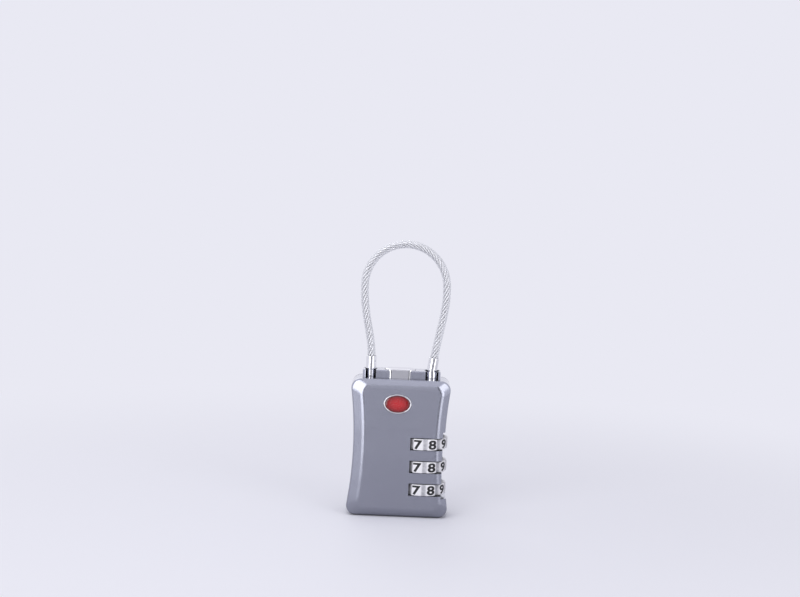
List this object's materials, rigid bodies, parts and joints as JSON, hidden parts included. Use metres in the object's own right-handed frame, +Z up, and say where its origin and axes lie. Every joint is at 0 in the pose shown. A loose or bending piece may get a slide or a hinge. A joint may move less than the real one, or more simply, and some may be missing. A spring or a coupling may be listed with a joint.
{
  "type": "cable luggage lock",
  "caption": "Combination luggage lock: waisted flat body with number dials at one side, release button, loop of coated wire rope with pull-out plug, keyway below.",
  "frame": {"origin": "middle of the flat base, at the bottom of the body", "axes": "+Z up the body towards the cable loop, -Y out of the front face, +X towards the dials' side"},
  "size_m": [0.0314, 0.0148, 0.0859],
  "materials": {
    "body_paint": "glossy silver-blue grey paint over die-cast zinc",
    "chrome": "bright polished chrome plate",
    "nickel": "plain stamped and turned steel",
    "spring_steel": "drawn spring steel",
    "brass": "machined brass",
    "dial_white": "white moulded plastic with black printed digits",
    "sleeve_plastic": "black moulded plastic",
    "enamel_red": "domed red enamel",
    "steel_rope": "stranded steel wire rope",
    "clear_vinyl": "clear vinyl coat"
  },
  "bodies": {
    "housing": {"housing": "body_paint", "back_cover": "body_paint", "cover_screws": "nickel", "badge_rim": "chrome", "badge_disc": "enamel_red", "sleeve_washers": "nickel", "stack_end_plug": "nickel", "button_spring": "spring_steel", "latch_spring": "spring_steel", "socket_bush": "chrome", "anchor_ferrule": "chrome", "anchor_pin": "nickel", "cable_rope": "steel_rope", "cable_jacket": "clear_vinyl", "cylinder_shell": "brass", "cylinder_pin": "nickel", "detent_spring_1": "spring_steel", "detent_spring_2": "spring_steel", "detent_spring_3": "spring_steel"},
    "button": {"release_button": "chrome", "button_yoke": "nickel", "spindle": "nickel"},
    "latch": {"latch_bolt": "nickel"},
    "cable_plug": {"plug_pin": "chrome", "plug_ferrule": "chrome"},
    "key_barrel": {"key_plug": "brass", "key_wafers": "brass", "key_tail": "nickel", "key_cam": "nickel"},
    "dial_1": {"dial_1": "dial_white", "dial_sleeve_1": "sleeve_plastic"},
    "dial_2": {"dial_2": "dial_white", "dial_sleeve_2": "sleeve_plastic"},
    "dial_3": {"dial_3": "dial_white", "dial_sleeve_3": "sleeve_plastic"}
  },
  "joints": [
    {"name": "dial_1_spin", "type": "hinge", "parent": "housing", "child": "dial_1", "pos_m": [0.00768, 0, 0], "axis": [0, 0, 1], "continuous": true, "deforming": ["detent_spring_1"]},
    {"name": "dial_2_spin", "type": "hinge", "parent": "housing", "child": "dial_2", "pos_m": [0.00768, 0, 0], "axis": [0, 0, 1], "continuous": true, "deforming": ["detent_spring_2"]},
    {"name": "dial_3_spin", "type": "hinge", "parent": "housing", "child": "dial_3", "pos_m": [0.00768, 0, 0], "axis": [0, 0, 1], "continuous": true, "deforming": ["detent_spring_3"]},
    {"name": "button_press", "type": "slide", "parent": "housing", "child": "button", "axis": [0, 0, -1], "range_m": [0, 0.0016], "stiffness_N_per_m": 800, "springref_m": -0.0015, "deforming": ["button_spring"]},
    {"name": "latch_draw", "type": "slide", "parent": "housing", "child": "latch", "axis": [-1, 0, 0], "range_m": [0, 0.0016], "deforming": ["latch_spring"]},
    {"name": "plug_release", "type": "slide", "parent": "housing", "child": "cable_plug", "axis": [0, 0, 1], "range_m": [0, 0.013], "deforming": ["cable_rope", "cable_jacket"]},
    {"name": "key_turn", "type": "hinge", "parent": "housing", "child": "key_barrel", "pos_m": [-0.00801, 0, 0], "axis": [0, 0, 1], "range_deg": [0, 90]}
  ],
  "couplings": [
    {"joint": "latch_draw", "follows": "button_press", "ratio": 1}
  ]
}
